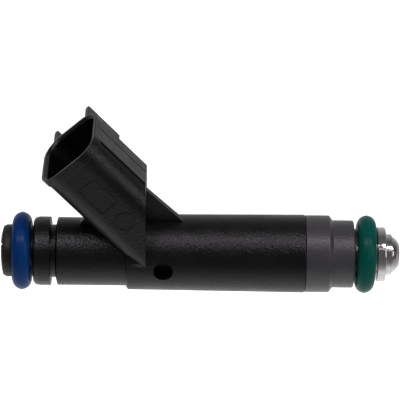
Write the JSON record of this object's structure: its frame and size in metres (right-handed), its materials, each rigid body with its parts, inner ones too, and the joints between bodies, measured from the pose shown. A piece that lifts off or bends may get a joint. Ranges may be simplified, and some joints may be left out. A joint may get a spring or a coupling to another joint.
{
  "type": "fuel injector",
  "caption": "Long-body port fuel injector: black moulded body, slanted plug socket, grey nozzle sleeve, coloured O-rings, steel spray tip, and a solenoid-lifted needle inside.",
  "frame": {"origin": "on the injector's axis, at the middle of the lower O-ring, where it seals in the manifold port", "axes": "+X along the injector's axis towards the spray tip, +Z to the side that the plug socket leans up to, +Y to the side of the socket that has the latch ramp"},
  "size_m": [0.0746, 0.0184, 0.0344],
  "materials": {
    "black_nylon": "moulded glass-filled nylon, finely grained",
    "cap_nylon": "moulded nylon, warm black, matt",
    "grey_nylon": "moulded glass-filled nylon, dark grey",
    "blue_rubber": "fluorocarbon rubber, oiled",
    "green_rubber": "fluorocarbon rubber, oiled",
    "stainless_steel": "fine turned",
    "magnet_steel": "drawn and turned, satin",
    "spring_steel": "bright drawn wire",
    "brass": "turned",
    "tinned_bronze": "tin plated, satin",
    "copper_wire": "enamelled copper wire, close wound",
    "white_nylon": "natural nylon"
  },
  "bodies": {
    "injector_body": {"cover": "black_nylon", "nozzle_sleeve": "grey_nylon", "inlet_cap": "cap_nylon", "upper_o_ring": "blue_rubber", "lower_o_ring": "green_rubber", "ring_retainer": "stainless_steel", "inlet_tube": "stainless_steel", "filter_ring": "brass", "filter_screen": "white_nylon", "adjusting_tube": "stainless_steel", "return_spring": "spring_steel", "flux_washer": "magnet_steel", "coil_bobbin": "white_nylon", "coil_winding": "copper_wire", "coil_housing": "magnet_steel", "terminal_left": "tinned_bronze", "terminal_right": "tinned_bronze", "barrier_sleeve": "stainless_steel", "valve_body": "stainless_steel", "ball_guide": "stainless_steel", "valve_seat": "stainless_steel", "orifice_plate": "stainless_steel", "backing_ring": "stainless_steel"},
    "valve_needle": {"armature": "magnet_steel", "needle": "stainless_steel", "valve_ball": "stainless_steel"}
  },
  "joints": [
    {"name": "needle_lift", "type": "slide", "parent": "injector_body", "child": "valve_needle", "axis": [-1, 0, 0], "range_m": [0, 0.00025], "stiffness_N_per_m": 2000, "springref_m": -0.001, "deforming": ["return_spring"]}
  ]
}
